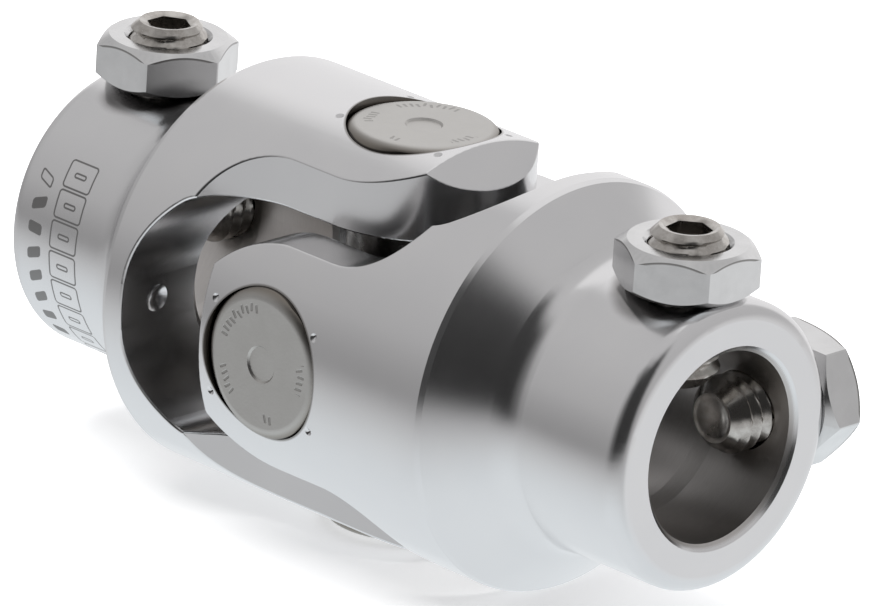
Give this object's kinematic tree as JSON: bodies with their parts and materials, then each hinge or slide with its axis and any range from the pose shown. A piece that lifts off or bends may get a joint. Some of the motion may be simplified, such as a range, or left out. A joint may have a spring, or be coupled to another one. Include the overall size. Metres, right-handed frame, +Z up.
{
  "type": "steering universal joint",
  "caption": "Needle-bearing universal joint for a steering shaft: crossed yokes on a cross, with shaft bores clamped by set screws and jam nuts.",
  "frame": {"origin": "centre of the cross, where the two pivot axes meet", "axes": "+X along the shafts to the front yoke's bore, +Z up through the rear yoke's upper bearing cap"},
  "size_m": [0.0869, 0.042, 0.042],
  "materials": {
    "polished_stainless": "polished",
    "ground_steel": "ground",
    "cap_steel": "satin",
    "seal_rubber": "matte",
    "screw_steel": "satin",
    "nut_steel": "satin"
  },
  "bodies": {
    "rear": {"rear_yoke": "polished_stainless", "bearing_cap_top": "cap_steel", "needle_rollers_top": "ground_steel", "seal_ring_top": "seal_rubber", "bearing_cap_bottom": "cap_steel", "needle_rollers_bottom": "ground_steel", "seal_ring_bottom": "seal_rubber"},
    "cross": {"cross": "ground_steel"},
    "front": {"front_yoke": "polished_stainless", "bearing_cap_near": "cap_steel", "needle_rollers_near": "ground_steel", "seal_ring_near": "seal_rubber", "bearing_cap_far": "cap_steel", "needle_rollers_far": "ground_steel", "seal_ring_far": "seal_rubber"},
    "screw_front_top": {"set_screw_front_top": "screw_steel"},
    "nut_front_top": {"jam_nut_front_top": "nut_steel"},
    "screw_front_far": {"set_screw_front_far": "screw_steel"},
    "nut_front_far": {"jam_nut_front_far": "nut_steel"},
    "screw_rear_top": {"set_screw_rear_top": "screw_steel"},
    "nut_rear_top": {"jam_nut_rear_top": "nut_steel"},
    "screw_rear_far": {"set_screw_rear_far": "screw_steel"},
    "nut_rear_far": {"jam_nut_rear_far": "nut_steel"}
  },
  "joints": [
    {"name": "rear_pivot", "type": "hinge", "parent": "rear", "child": "cross", "pos_m": [0, 0, 0], "axis": [0, 0, 1], "range_deg": [-22, 22]},
    {"name": "front_pivot", "type": "hinge", "parent": "cross", "child": "front", "pos_m": [0, 0, 0], "axis": [0, 1, 0], "range_deg": [-22, 22]},
    {"name": "screw_front_top_travel", "type": "slide", "parent": "front", "child": "screw_front_top", "axis": [0, 0, 1], "range_m": [0, 0.0056]},
    {"name": "nut_front_top_travel", "type": "slide", "parent": "front", "child": "nut_front_top", "axis": [0, 0, 1], "range_m": [0, 0.001]},
    {"name": "screw_front_far_travel", "type": "slide", "parent": "front", "child": "screw_front_far", "axis": [0, 1, 0], "range_m": [0, 0.0056]},
    {"name": "nut_front_far_travel", "type": "slide", "parent": "front", "child": "nut_front_far", "axis": [0, 1, 0], "range_m": [0, 0.001]},
    {"name": "screw_rear_top_travel", "type": "slide", "parent": "rear", "child": "screw_rear_top", "axis": [0, 0, 1], "range_m": [0, 0.0056]},
    {"name": "nut_rear_top_travel", "type": "slide", "parent": "rear", "child": "nut_rear_top", "axis": [0, 0, 1], "range_m": [0, 0.001]},
    {"name": "screw_rear_far_travel", "type": "slide", "parent": "rear", "child": "screw_rear_far", "axis": [0, 1, 0], "range_m": [0, 0.0056]},
    {"name": "nut_rear_far_travel", "type": "slide", "parent": "rear", "child": "nut_rear_far", "axis": [0, 1, 0], "range_m": [0, 0.001]}
  ]
}
